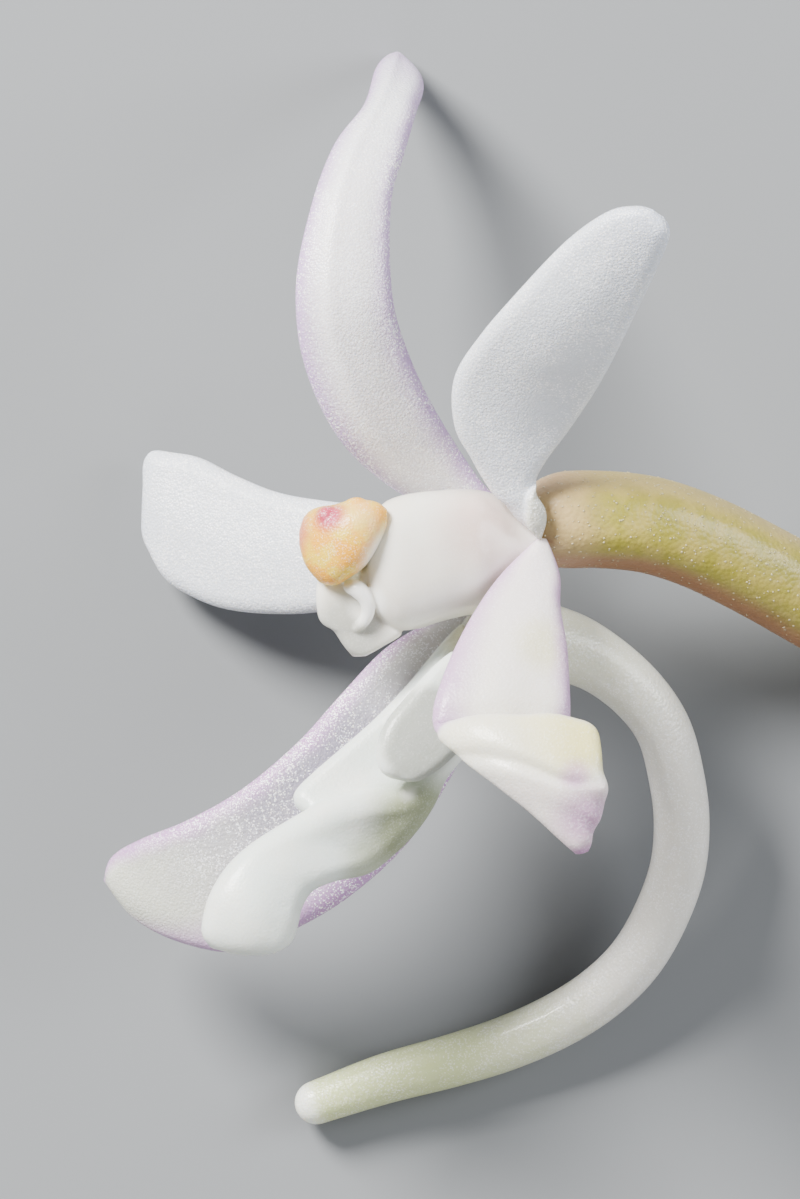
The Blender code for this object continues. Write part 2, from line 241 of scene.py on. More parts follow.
def spline(points, samples):
    """Points of a smooth curve through the given ones, at samples from 0 to 1."""
    p = np.asarray(points, float)
    spans = len(p) - 1
    p = np.concatenate([[2 * p[0] - p[1]], p, [2 * p[-1] - p[-2]]])
    at = np.clip(np.asarray(samples) * spans, 0, spans)
    k = np.minimum(at.astype(int), spans - 1)
    f = (at - k).reshape((-1,) + (1,) * (p.ndim - 1))
    a, b, c, d = p[k], p[k + 1], p[k + 2], p[k + 3]
    return 0.5 * (2 * b + (c - a) * f + (2 * a - 5 * b + 4 * c - d) * f**2 + (3 * b - a - 3 * c + d) * f**3)


def linked(name, data):
    """A new object of the scene."""
    obj = bpy.data.objects.new(name, data)
    bpy.context.scene.collection.objects.link(obj)
    return obj


def mesh_object(name, points, faces, edges=()):
    """An object whose points are given in millimetres from the joint."""
    mesh = bpy.data.meshes.new(name)
    mesh.from_pydata((np.asarray(points) + JOINT) * MM, list(edges), [tuple(f) for f in faces])
    mesh.update()
    return linked(name, mesh)


def stem(name, line, radii, rings, facets, ribs, rib_depth, tissue, round_tip):
    """A stem swept along a smooth line, with shallow ribs, and rounded or cut square at its far end."""
    at = np.arange(rings + 1) / rings
    centre = spline(line, at)
    radius = spline(np.array(radii)[:, None], at)[:, 0]
    first, last = centre[1] - centre[0], centre[-1] - centre[-2]
    first, last = first / np.linalg.norm(first), last / np.linalg.norm(last)
    start = [centre[0] - first * radius[0] * math.cos(a) for a in DOME_ARC]
    start_radii = [radius[0] * math.sin(a) for a in DOME_ARC]
    if round_tip:
        end = [centre[-1] + last * radius[-1] * math.cos(a) for a in DOME_ARC[::-1]]
        end_radii = [radius[-1] * math.sin(a) for a in DOME_ARC[::-1]]
    else:
        end = [centre[-1] + last * ahead for ahead, _ in CUT_EDGE]
        end_radii = [radius[-1] * share for _, share in CUT_EDGE]
    points = np.vstack([start, centre, end])
    thickness = np.concatenate([start_radii, radius, end_radii])
    obj = mesh_object(name, points, [], [(k, k + 1) for k in range(len(points) - 1)])
    obj.data.attributes.new("thickness", "FLOAT", "POINT").data.foreach_set("value", thickness * MM)

    growth = Growth(
        name + "_growth",
        {"Facets": facets, "Ribs": ribs, "Rib depth": rib_depth * MM, "Skin": tissue.material},
    )
    curve = growth.node("GeometryNodeMeshToCurve", {}, {"Mesh": growth.given("Geometry")})
    curve = growth.keep(curve, "along", growth.node("GeometryNodeSplineParameter"))
    here = growth.node("GeometryNodeInputPosition")
    curve = growth.keep(curve, "core", here, "FLOAT_VECTOR")
    circle = growth.node(
        "GeometryNodeCurvePrimitiveCircle", {}, {"Resolution": growth.given("Facets"), "Radius": 1.0}
    )
    circle = growth.keep(circle, "turn", here, "FLOAT_VECTOR")
    body = growth.node(
        "GeometryNodeCurveToMesh",
        {},
        {"Curve": curve, "Profile Curve": circle, "Scale": growth.named("thickness"), "Fill Caps": True},
    )
    core = growth.named("core", "FLOAT_VECTOR")
    out = growth.node("ShaderNodeVectorMath", {"operation": "SUBTRACT"}, {0: here, 1: core})
    out = growth.node("ShaderNodeVectorMath", {"operation": "NORMALIZE"}, {0: out})
    body = growth.keep(body, "outward", out, "FLOAT_VECTOR")
    turn = growth.named("turn", "FLOAT_VECTOR")
    x, y = (growth.node("ShaderNodeSeparateXYZ", {}, {0: turn}, k) for k in (0, 1))
    turns = y.maths("ARCTAN2", y, x) * growth.given("Ribs")
    wave = turns.maths("COSINE", turns) * growth.given("Rib depth")
    out = growth.named("outward", "FLOAT_VECTOR")
    shift = growth.node("ShaderNodeVectorMath", {"operation": "SCALE"}, {0: out, "Scale": wave})
    body = growth.node("GeometryNodeSetPosition", {}, {"Geometry": body, "Offset": shift})
    body = growth.node("GeometryNodeSetShadeSmooth", {}, {"Geometry": body})
    return growth.grow(obj, body, growth.given("Skin"))


def warty(obj, name, per_mm2, radius, seed, tissue, where):
    """Sets small low domes over the skin of a body, at random, as densely as its own attribute says."""
    sizes = {"Warts per area": per_mm2 / MM**2, "Wart radius": radius * MM, "Seed": seed}
    growth = Growth(name, {**sizes, "Skin": tissue.material})
    body = growth.given("Geometry")
    density = growth.named(where) * growth.given("Warts per area")
    spread = growth.tree.nodes.new("GeometryNodeDistributePointsOnFaces")
    for socket, value in {"Mesh": body, "Density": density, "Seed": growth.given("Seed")}.items():
        growth.feed(spread.inputs[socket], value)
    dome = growth.node(
        "GeometryNodeMeshIcoSphere", {}, {"Radius": growth.given("Wart radius"), "Subdivisions": 1}
    )
    dome = growth.node("GeometryNodeTransform", {}, {"Geometry": dome, "Scale": (1.0, 1.0, 0.55)})
    dome = growth.keep(dome, "wart", 1.0)
    size = growth.node(
        "FunctionNodeRandomValue", {"data_type": "FLOAT"}, {2: 0.6, 3: 1.25, "Seed": growth.given("Seed")}, 1
    )
    domes = growth.node(
        "GeometryNodeInstanceOnPoints",
        {},
        {
            "Points": Varying(growth, spread.outputs["Points"]),
            "Instance": dome,
            "Rotation": Varying(growth, spread.outputs["Rotation"]),
            "Scale": size,
        },
    )
    domes = growth.node("GeometryNodeSetShadeSmooth", {}, {"Geometry": domes})
    join = growth.tree.nodes.new("GeometryNodeJoinGeometry")
    growth.feed(join.inputs[0], body)
    growth.feed(join.inputs[0], domes)
    return growth.grow(obj, Varying(growth, join.outputs[0]), growth.given("Skin"))


def finished(piece, node):
    """Lets a piece stand for its solid in the bloom."""
    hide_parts(node)
    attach(piece, "root")


def stalk_skin():
    """Mottled olive, tanned on the side towards +Y, flushed brown on the other and paler at the bloom."""
    tissue = Tissue("stalk_tissue", roughness=0.38, glow=0.30, depth=0.40, coat=0.15)
    along = tissue.own("along")
    up = tissue.node("ShaderNodeSeparateXYZ", {}, {0: tissue.own("outward", "Vector")}, 1)
    skin = tissue.mix(tissue.step(tissue.clouds(0.5, 3.0), 0.35, 0.65), OLIVE, TAN)
    skin = tissue.mix(tissue.step(up, 0.35, 0.85) * 0.6, skin, PINK_TAN)
    skin = tissue.mix(tissue.step(up, -0.62, -0.90) * 0.85, skin, BROWN_BLUSH)
    skin = tissue.mix(tissue.step(along, 0.22, 0.10) * 0.55, skin, FOOT_PINK)
    skin = tissue.mix(tissue.step(along, 0.06, 0.03), skin, FOOT_PALE)
    skin = tissue.mix(tissue.own("wart") * 0.5, skin, WART_CREAM)
    tissue.colour(skin)
    tissue.skin(tissue.cells(0.10), -0.012)
    return tissue


def wart_cover(outward):
    """How densely the warts stand, from 0 to 1: thickest on top, and in bands round the stalk."""
    bands = 0.6 + 0.4 * np.sin(9 * outward[:, 1])
    return np.clip(0.55 + 0.75 * outward[:, 2] * bands, 0.05, 1.0)


stalk_tissue = stalk_skin()
stalk = stem(
    "stalk_flesh", STALK_LINE, STALK_RADII, STALK_RINGS, STALK_FACETS, STALK_RIBS, STALK_RIB_DEPTH,
    stalk_tissue, round_tip=False,
)
outward = np.empty(len(stalk.data.vertices) * 3)
stalk.data.attributes["outward"].data.foreach_get("vector", outward)
cover = stalk.data.attributes.new("warted", "FLOAT", "POINT")
cover.data.foreach_set("value", wart_cover(outward.reshape(-1, 3)))
stalk = warty(stalk, "stalk_warts", WARTS_PER_MM2, WART_RADIUS, WART_SEED, stalk_tissue, "warted")
finished(stalk, "pedicel_and_ovary")


# The dorsal sepal. The tall one at the top is a fleshy sickle, white with lilac margins, and bends back at
# its tip. It grows from the rim of the ovary, behind the column.
FLOOR = -JOINT[2]
SEPAL_THICKNESS = 0.58
BLADE_RIM = 0.42
# Each row of an outline: left margin x, y, z, right margin x, y, z, and how far the middle is raised.
DORSAL_SEPAL = [
    (-1.41, 0.48, -1.00, -0.54, 0.76, -1.00, 0.00),
    (-2.93, 1.00, -0.70, -1.24, 1.24, -0.70, 0.10),
    (-4.30, 2.13, 0.25, -2.26, 2.80, 0.20, 0.22),
    (-5.11, 3.76, 1.00, -2.93, 4.22, 0.85, 0.28),
    (-5.30, 5.46, 1.35, -3.24, 5.43, 1.15, 0.30),
    (-4.98, 7.15, 1.00, -3.24, 7.28, 0.80, 0.28),
    (-4.50, 8.52, 0.00, -2.96, 8.37, -0.10, 0.24),
    (-3.85, 9.39, -1.25, -2.70, 9.28, -1.20, 0.18),
    (-3.59, 10.28, -2.95, -2.54, 9.96, -2.85, 0.10),
    (-3.33, 10.63, FLOOR + 0.04, -2.98, 10.46, FLOOR + 0.04, 0.00),
]
ROSE_WHITE = (0.80, 0.77, 0.79)
BLUE_WHITE = (0.74, 0.75, 0.79)
LILAC = (0.50, 0.34, 0.60)
# The white of painted glints: the tiny skin cells that catch the light.
PAINTED_GLINT_WHITE = (0.97, 0.97, 1.0)


def margins(outline):
    """The blade's net of left margin, middle and right margin for each row of its outline."""
    rows = np.array(outline)
    left, right, crown = rows[:, 0:3], rows[:, 3:6], rows[:, 6:7]
    return np.stack([left, (left + right) / 2 + crown * np.array([0, 0, 1]), right], axis=1)


def rounded(distance, reach):
    """1 inside a blade, falling to 0 at its rim along a quarter ellipse."""
    return np.sqrt(1 - (1 - np.clip(distance / reach, 0, 1)) ** 2)


def crowded(count, even):
    """Samples from 0 to 1 that lie closer together at both ends; even is the share of plain equal steps."""
    steps = np.arange(count + 1) / count
    return even * steps + (1 - even) * (0.5 - 0.5 * np.cos(math.pi * steps))


def travelled(sheet, axis):
    """How far each point of a sheet lies from its first one, in millimetres along one of its two ways."""
    lengths = np.linalg.norm(np.diff(sheet, axis=axis), axis=2)
    return np.insert(np.cumsum(lengths, axis=axis), 0, 0, axis=axis)


def blade_shell(net, thickness, rim, relief, rows, columns):
    """Points, faces and the along and across values of a fleshy blade whose sheet runs through the net."""
    along, across = crowded(rows, 0.45), crowded(columns, 0.3)
    sheet = spline(spline(net, along).transpose(1, 0, 2), across).transpose(1, 0, 2)
    normal = np.cross(np.gradient(sheet, axis=0), np.gradient(sheet, axis=1))
    normal /= np.linalg.norm(normal, axis=2, keepdims=True)
    down, over = travelled(sheet, 0), travelled(sheet, 1)
    sides = rounded(np.minimum(over, over[:, -1:] - over), rim)
    edge = sides * rounded(np.minimum(down, down[-1:] - down), rim)
    wave = relief(along[:, None], across[None, :], down, over)[..., None] * normal
    lift = normal * edge[..., None] * thickness / 2
    wide, count = columns + 1, (rows + 1) * (columns + 1)
    points = np.concatenate([(sheet + wave + lift).reshape(-1, 3), (sheet + wave - lift).reshape(-1, 3)])
    grid = np.arange(count).reshape(rows + 1, wide)
    under = grid + count
    for last in (0, -1):
        under[last] = grid[last]
        under[:, last] = grid[:, last]
    a, b, c, d = grid[:-1, :-1], grid[:-1, 1:], grid[1:, 1:], grid[1:, :-1]
    top = np.stack([a, b, c, d], axis=-1).reshape(-1, 4)
    a, b, c, d = under[:-1, :-1], under[:-1, 1:], under[1:, 1:], under[1:, :-1]
    bottom = np.stack([d, c, b, a], axis=-1).reshape(-1, 4)
    used, faces = np.unique(np.vstack([top, bottom]), return_inverse=True)
    spread = [np.broadcast_to(v, (rows + 1, wide)).reshape(-1) for v in (along[:, None], across[None, :])]
    return points[used], faces.reshape(-1, 4), *(np.tile(v, 2)[used] for v in spread)


def closed_up(mesh, tissue):
    """Turns every face of a closed mesh outwards, shades it smooth and gives it its tissue."""
    body = bmesh.new()
    body.from_mesh(mesh)
    bmesh.ops.recalc_face_normals(body, faces=body.faces)
    for face in body.faces:
        face.smooth = True
    body.to_mesh(mesh)
    body.free()
    mesh.materials.clear()
    mesh.materials.append(tissue.material)


def blade(name, net, thickness, rim, relief, tissue, rows=150, columns=64):
    """A petal or sepal as one closed body, which keeps how far along and across it each point lies."""
    points, faces, along, across = blade_shell(net, thickness, rim, relief, rows, columns)
    obj = mesh_object(name, points, faces)
    for title, value in (("along", along), ("across", across)):
        obj.data.attributes.new(title, "FLOAT", "POINT").data.foreach_set("value", value)
    closed_up(obj.data, tissue)
    return obj


def painted_glints(tissue, ground, share=1.0):
    """The ground colour with painted glints: white dots where some of the tiny clear cells of the skin catch
    the light.
    """
    sparks = tissue.node("ShaderNodeSeparateColor", {}, {0: tissue.cells(0.027, "Color")})
    drift = tissue.clouds(0.9, 2.0)
    lit = tissue.step(sparks * 0.75 + drift * 0.5, 0.84, 0.94) * share
    return tissue.mix(lit, ground, PAINTED_GLINT_WHITE)


def sepal_tissue(name, foot, ground, end, rim, left_reach, right_reach, tip_from, glints_fade_from):
    """Flesh that turns lilac towards both margins and the tip; its painted glints fade from a place along it.
    """
    tissue = Tissue(name, roughness=0.27, glow=0.40, depth=0.45, coat=0.05)
    along, across = tissue.own("along"), tissue.own("across")
    drift = tissue.clouds(0.8, 3.0) - 0.5
    left = tissue.step(across + drift * 0.12, left_reach, 0.0)
    right = tissue.step(across + drift * 0.12, 1.0 - right_reach, 1.0)
    tip = tissue.step(along + drift * 0.10, tip_from, 1.0)
    share = left.maths("MAXIMUM", left, right)
    share = share.maths("MAXIMUM", share, tip * 0.8)
    # From the foot colour to the ground colour; the far sepal's foot colour is painted light.
    shade = tissue.mix(tissue.step(along + drift * 0.1, 0.18, 0.40), foot, ground)
    shade = tissue.mix(tissue.step(along + drift * 0.2, 0.45, 0.90), shade, end)
    shade = tissue.mix(share, shade, rim)
    tissue.colour(painted_glints(tissue, shade, 1 - tissue.step(along, glints_fade_from, glints_fade_from + 0.25) * 0.75))
    tissue.skin(tissue.cells(0.055) + tissue.clouds(0.25) * 0.5, -0.014)
    return tissue


def groove(along, across, down, over):
    """A shallow groove left of the middle, and a slight wander of the whole blade."""
    fade = np.sin(math.pi * np.clip(along, 0, 1)) ** 0.5
    return fade * (-0.07 * np.exp(-(((across - 0.36) / 0.09) ** 2)) + 0.02 * np.sin(1.3 * down + 4 * across))


dorsal_tissue = sepal_tissue(
    "dorsal_sepal_tissue", ROSE_WHITE, ROSE_WHITE, BLUE_WHITE, LILAC,
    left_reach=0.34, right_reach=0.36, tip_from=0.76, glints_fade_from=0.65,
)
dorsal = blade(
    "dorsal_sepal_flesh", margins(DORSAL_SEPAL), SEPAL_THICKNESS, BLADE_RIM, groove, dorsal_tissue
)
finished(dorsal, "dorsal_sepal")


# The far lateral sepal. The broad one at the lower left lies behind the lip and grows from the ovary's rim.
# Its flesh is glassy, so it looks greyer than the others, and it glistens most of all the blades, with
# painted glints.
FAR_LATERAL_SEPAL = [
    (-1.09, -1.09, -1.00, -0.26, -1.57, -1.00, 0.00),
    (-2.28, -1.70, -1.05, -0.76, -2.61, -1.05, 0.05),
    (-3.35, -2.35, -0.90, -1.30, -3.80, -0.90, 0.00),
    (-4.30, -3.33, -0.60, -1.91, -5.11, -0.65, -0.15),
    (-5.30, -4.43, -0.40, -2.83, -6.54, -0.45, -0.20),
    (-6.50, -5.43, -0.40, -4.09, -7.72, -0.40, -0.15),
    (-7.68, -6.10, -0.65, -5.28, -8.45, -0.60, 0.00),
    (-8.66, -6.50, -1.05, -6.43, -8.95, -1.00, 0.10),
    (-9.30, -6.88, -1.50, -7.78, -8.74, -1.45, 0.15),
    (-9.52, -7.43, -1.80, -8.85, -8.05, -1.80, 0.00),
]
# Painted light: the far sepal's foot lies in the shade of the lip and column and is painted paler.
FAR_FOOT_PAINTED_LIGHT = (0.74, 0.73, 0.72)
GREY_LILAC = (0.38, 0.35, 0.44)
GREY_GREEN = (0.60, 0.61, 0.53)
ORCHID_PINK = (0.46, 0.27, 0.50)


def far_wave(along, across, down, over):
    """A wave that grows towards the right margin."""
    return 0.05 * np.sin(2.4 * down + 2.0 * across) * across * np.sin(math.pi * along)


far_lateral_tissue = sepal_tissue(
    "far_lateral_tissue", FAR_FOOT_PAINTED_LIGHT, GREY_LILAC, GREY_GREEN, ORCHID_PINK,
    left_reach=0.16, right_reach=0.42, tip_from=0.99, glints_fade_from=0.58,
)
far_lateral = blade(
    "far_lateral_sepal_flesh", margins(FAR_LATERAL_SEPAL), SEPAL_THICKNESS, BLADE_RIM, far_wave,
    far_lateral_tissue,
)
finished(far_lateral, "left_lateral_sepal")


# The near lateral sepal. It grows towards the viewer with its smooth back outwards, and its outer third is
# folded over to the front, so that a pleat opens to the right under a yellowish rim.
NEAR_THICKNESS = 0.42
NEAR_RIM = 0.36
# Each row is five points from the left margin to the right, as x, y, z.
NEAR_LATERAL_SEPAL = [
    (-0.03, 0.03, 0.84, 0.01, 0.03, 0.86, 0.05, 0.03, 0.87, 0.09, 0.03, 0.86, 0.13, 0.03, 0.84),
    (-0.83, -0.76, 1.18, -0.52, -0.76, 1.27, -0.21, -0.76, 1.30, 0.10, -0.76, 1.25, 0.41, -0.76, 1.12),
    (-1.41, -1.57, 1.72, -0.95, -1.55, 1.88, -0.49, -1.53, 1.90, -0.03, -1.50, 1.80, 0.43, -1.48, 1.58),
    (-1.91, -2.50, 2.35, -1.29, -2.47, 2.55, -0.67, -2.45, 2.58, -0.05, -2.42, 2.46, 0.57, -2.39, 2.18),
    (-2.26, -3.39, 2.90, -1.54, -3.39, 3.05, -0.82, -3.38, 3.06, -0.09, -3.38, 2.92, 0.63, -3.37, 2.70),
    (-2.34, -3.80, 3.08, -1.60, -3.84, 3.12, -0.84, -3.90, 3.05, -0.09, -3.95, 2.88, 0.64, -3.98, 2.70),
    (-2.32, -4.02, 3.16, -1.62, -4.16, 3.10, -0.86, -4.30, 2.92, -0.08, -4.42, 2.72, 0.66, -4.50, 2.60),
    (-2.24, -4.20, 3.28, -1.58, -4.06, 3.40, -0.80, -4.08, 3.45, 0.10, -4.10, 3.45, 0.98, -4.18, 3.42),
    (-2.15, -4.36, 3.42, -1.45, -4.04, 3.78, -0.65, -4.02, 3.92, 0.33, -4.03, 3.98, 1.24, -4.24, 3.95),
    (-1.80, -4.62, 3.62, -1.12, -4.62, 4.12, -0.37, -4.72, 4.34, 0.46, -4.96, 4.42, 1.33, -4.92, 4.28),
    (-1.10, -5.12, 3.82, -0.48, -5.24, 4.22, 0.15, -5.36, 4.36, 0.78, -5.46, 4.38, 1.43, -5.40, 4.24),
    (-0.35, -5.72, 3.95, 0.06, -5.80, 4.16, 0.47, -5.88, 4.22, 0.88, -5.95, 4.18, 1.28, -5.96, 4.08),
    (0.40, -6.42, 3.98, 0.58, -6.44, 4.06, 0.76, -6.44, 4.08, 0.94, -6.42, 4.06, 1.11, -6.38, 4.00),
    (0.74, -6.78, 3.98, 0.81, -6.78, 3.99, 0.88, -6.77, 4.00, 0.95, -6.75, 3.99, 1.01, -6.72, 3.98),
]
FLESH_PINK = (0.75, 0.68, 0.68)
IVORY = (0.77, 0.75, 0.67)
GREEN_FLUSH = (0.62, 0.60, 0.32)
MAUVE = (0.46, 0.26, 0.50)
STRAW = (0.72, 0.66, 0.24)
PALE_ROSE = (0.74, 0.62, 0.62)
PURPLE = (0.42, 0.17, 0.42)


def frill(along, across, down, over):
    """The crease under the fold, small uneven teeth along the folded end's right margin, and fine ripples."""
    end = np.clip((along - 0.62) / 0.1, 0, 1) * np.clip((across - 0.7) / 0.3, 0, 1)
    crease = np.exp(-(((along - 0.685 - 0.05 * across) / 0.020) ** 2)) * np.sin(math.pi * across) ** 0.5
    fine = 0.012 * np.sin(5.5 * over) * np.sin(math.pi * along)
    return end * 0.05 * np.sin(9 * down) - 0.13 * crease + fine


def near_sepal_skin():
    """Ivory with mauve margins as far as the fold, straw along the fold, and purple at the tip."""
    tissue = Tissue("near_lateral_tissue", roughness=0.34, glow=0.42, depth=0.5, coat=0.12)
    along, across = tissue.own("along"), tissue.own("across")
    drift = tissue.clouds(0.7, 3.0) - 0.5
    shade = tissue.mix(tissue.step(along, 0.0, 0.5), FLESH_PINK, IVORY)
    shade = tissue.mix(tissue.spot((0.10, -2.3, 2.5), 0.2, 1.0) * 0.6, shade, GREEN_FLUSH)
    left = tissue.step(across + drift * 0.14, 0.38, 0.02)
    right = tissue.step(across + drift * 0.14, 0.80, 1.0)
    rims = left.maths("MAXIMUM", left, right) * tissue.step(along, 0.62, 0.50)
    shade = tissue.mix(rims * 0.85, shade, MAUVE)
    fold = tissue.step(along, 0.585, 0.62) * tissue.step(along, 0.74, 0.66)
    shade = tissue.mix(fold * (tissue.step(across, 0.35, 0.90) * 0.7 + 0.15), shade, STRAW)
    shade = tissue.mix(tissue.step(along, 0.70, 0.80) * 0.5, shade, PALE_ROSE)
    tip = tissue.step(along + drift * 0.10, 0.88, 1.0)
    spot = tissue.spot((0.72, -5.10, 4.45), 0.12, 0.50) * 0.7
    blot = tissue.spot((0.95, -5.95, 4.2), 0.20, 1.05) * 0.75
    stain = spot.maths("MAXIMUM", tip, spot.maths("MAXIMUM", spot, blot))
    shade = tissue.mix(stain * 0.9, shade, PURPLE)
    tissue.colour(painted_glints(tissue, shade, 0.25))
    tissue.skin(tissue.cells(0.06) * 0.7 + tissue.clouds(0.3), -0.010)
    return tissue


near_net = np.array(NEAR_LATERAL_SEPAL).reshape(len(NEAR_LATERAL_SEPAL), 5, 3)
near_lateral = blade(
    "near_lateral_sepal_flesh", near_net, NEAR_THICKNESS, NEAR_RIM, frill, near_sepal_skin(),
    rows=260, columns=80,
)
finished(near_lateral, "right_lateral_sepal")


# The two petals. They are blue-white blades, narrower at the foot than the sepals, and grow from the ovary's
# rim. One goes left behind the column, and the other stands up to the right on a thin claw.
PETAL_THICKNESS = 0.54
LEFT_PETAL = [
    (-0.76, 0.22, -0.90, -0.87, -0.43, -0.90, 0.00),
    (-1.96, 0.43, -1.10, -2.07, -0.87, -1.10, 0.05),
    (-3.26, 0.72, -1.50, -3.48, -1.30, -1.50, 0.12),
    (-4.59, 0.85, -2.00, -4.83, -1.57, -2.00, 0.18),
    (-5.67, 1.04, -2.50, -5.87, -1.61, -2.50, 0.20),
    (-6.61, 1.41, -3.00, -6.85, -1.50, -3.00, 0.20),
    (-7.39, 1.80, -3.40, -7.61, -1.22, -3.40, 0.18),
    (-8.02, 1.93, -3.70, -8.15, -0.87, -3.65, 0.15),
    (-8.46, 1.96, -3.88, -8.42, -0.35, -3.80, 0.10),
    (-8.56, 1.70, -3.98, -8.54, 0.22, -3.95, 0.00),
]
RIGHT_PETAL = [
    (-0.07, 0.09, 0.80, 0.02, 0.09, 0.80, 0.00),
    (-0.33, 0.30, 0.86, 0.07, 0.22, 0.84, 0.00),
    (-0.57, 0.52, 0.92, 0.11, 0.46, 0.88, 0.02),
    (-0.78, 0.80, 1.00, 0.07, 0.72, 0.94, 0.04),
    (-1.04, 1.02, 1.10, -0.11, 1.02, 1.03, 0.05),
    (-1.26, 1.35, 1.22, -0.11, 1.30, 1.13, 0.06),
    (-1.50, 1.78, 1.42, 0.14, 1.76, 1.28, 0.10),
    (-1.87, 2.50, 1.80, 0.61, 2.39, 1.50, 0.18),
    (-1.87, 3.50, 2.40, 1.13, 3.17, 2.10, 0.24),
    (-1.30, 4.43, 3.10, 1.57, 3.96, 2.90, 0.26),
    (-0.43, 5.43, 3.85, 2.00, 4.80, 3.70, 0.24),
    (0.57, 6.46, 4.50, 2.41, 5.65, 4.40, 0.20),
    (1.42, 7.05, 4.96, 2.72, 6.38, 4.92, 0.12),
    (2.02, 7.17, 5.11, 2.75, 6.70, 5.09, 0.06),
    (2.38, 7.09, 5.18, 2.62, 6.93, 5.17, 0.00),
]
CLAW_END = 0.40
EAR_DROP = 0.24
PETAL_FOOT = (0.72, 0.70, 0.68)
PETAL_WHITE = (0.65, 0.68, 0.73)
PETAL_SHADOW = (0.52, 0.56, 0.68)
# Painted shade for the ear beside the claw, which lies lower than the claw.
EAR_PAINTED_SHADE = (0.56, 0.56, 0.48)


def ripple(along, across, down, over):
    """A faint ripple of the whole blade."""
    return 0.02 * np.sin(1.7 * down + 3.0 * across) * np.sin(math.pi * along)


def claw_side(along):
    """How far across the petal its thin claw reaches near its foot; the rounded ear lies beyond."""
    return 0.22 + 0.4 * along + 5.0 * along * along


def claw(along, across, down, over):
    """The claw stands a little above the ear at the right of its foot."""
    foot = np.clip((CLAW_END - along) / 0.05, 0, 1)
    beyond = 1 / (1 + np.exp(-(across - claw_side(along)) / 0.02))
    return ripple(along, across, down, over) - EAR_DROP * foot * beyond


def petal_tissue(name, shadow_from, eared=False):
    """Blue-white flesh, creamy at the foot and shadowed towards the tip, with painted shade on the ear of an
    eared petal.
    """
    tissue = Tissue(name, roughness=0.27, glow=0.42, depth=0.45, coat=0.05)
    along, across = tissue.own("along"), tissue.own("across")
    ground = tissue.mix(tissue.step(along, 0.0, 0.3), PETAL_FOOT, PETAL_WHITE)
    ground = tissue.mix(tissue.step(along, shadow_from, 1.0) * 0.6, ground, PETAL_SHADOW)
    if eared:
        # Painted shade: the ear is greyed.
        ear = tissue.step(across - claw_side(along), -0.02, 0.04) * tissue.step(along, CLAW_END, 0.34)
        ground = tissue.mix(ear * 0.8, ground, EAR_PAINTED_SHADE)
    tissue.colour(painted_glints(tissue, ground, 0.8))
    tissue.skin(tissue.cells(0.055) + tissue.clouds(0.25) * 0.5, -0.016)
    return tissue


left_tissue = petal_tissue("left_petal_tissue", shadow_from=0.8)
left_petal = blade("left_petal_flesh", margins(LEFT_PETAL), PETAL_THICKNESS, BLADE_RIM, ripple, left_tissue)
finished(left_petal, "left_petal")
right_tissue = petal_tissue("right_petal_tissue", shadow_from=0.7, eared=True)
right_petal = blade(
    "right_petal_flesh", margins(RIGHT_PETAL), PETAL_THICKNESS, BLADE_RIM, claw, right_tissue,
    rows=240, columns=90,
)
finished(right_petal, "right_petal")


# The column. The white knob in the middle bears the pollen at its end. It is a smooth waxy body with rounded
# wings, and a pointed beak with a curved crest hangs under its end, all of one growth.
COLUMN_CELL = 0.030
# Each section: centre x, y, z, half width and half height.
COLUMN_SECTIONS = [
    (0.11, 0.05, 0.38, 0.20, 0.40),
    (-0.43, -0.15, 0.30, 0.82, 0.60),
    (-0.87, -0.17, 0.36, 1.12, 0.76),
    (-1.30, -0.24, 0.48, 1.32, 0.90),
    (-1.74, -0.28, 0.56, 1.39, 0.96),
    (-2.17, -0.35, 0.64, 1.43, 1.00),
    (-2.61, -0.44, 0.72, 1.48, 1.00),
    (-3.04, -0.50, 0.80, 1.46, 0.98),
    (-3.37, -0.50, 0.88, 1.32, 0.86),
    (-3.59, -0.50, 0.92, 1.06, 0.68),
    (-3.74, -0.48, 0.94, 0.68, 0.46),
    (-3.82, -0.47, 0.95, 0.22, 0.18),
]
BEAK_THICKNESS = 0.40
BEAK_RIM = 0.25
COLUMN_BEAK = [
    (-4.83, -0.76, 0.95, -3.65, -0.76, 0.95, 0.00),
    (-4.87, -1.13, 0.97, -3.61, -1.13, 0.97, 0.04),
    (-4.85, -1.52, 0.97, -3.48, -1.57, 0.97, 0.06),
    (-4.76, -1.78, 0.95, -3.22, -1.87, 0.95, 0.06),
    (-4.50, -1.96, 0.93, -3.00, -2.04, 0.93, 0.05),
    (-4.28, -2.28, 0.90, -3.37, -2.28, 0.90, 0.03),
    (-4.07, -2.54, 0.87, -3.78, -2.52, 0.87, 0.00),
]
# Rounded lumps, each with its centre and its three half widths: two under the foot and two behind the beak.
COLUMN_LUMPS = [
    ((-0.80, 0.10, -0.45), (0.80, 0.80, 0.80)),
    ((-0.80, -0.85, -0.50), (0.72, 0.70, 0.65)),
    ((-4.15, -0.70, 1.25), (0.28, 0.24, 0.26)),
    ((-3.78, -0.80, 1.02), (0.28, 0.34, 0.36)),
]
CREST = [
    (-4.13, -1.02, 1.38),
    (-3.95, -1.08, 1.46),
    (-3.79, -1.28, 1.46),
    (-3.73, -1.54, 1.40),
    (-3.82, -1.78, 1.32),
    (-3.98, -1.93, 1.22),
]
CREST_RADII = [0.15, 0.20, 0.17, 0.15, 0.12, 0.08]
COLUMN_CREAM = (0.78, 0.74, 0.66)
COLUMN_WHITE = (0.80, 0.78, 0.71)
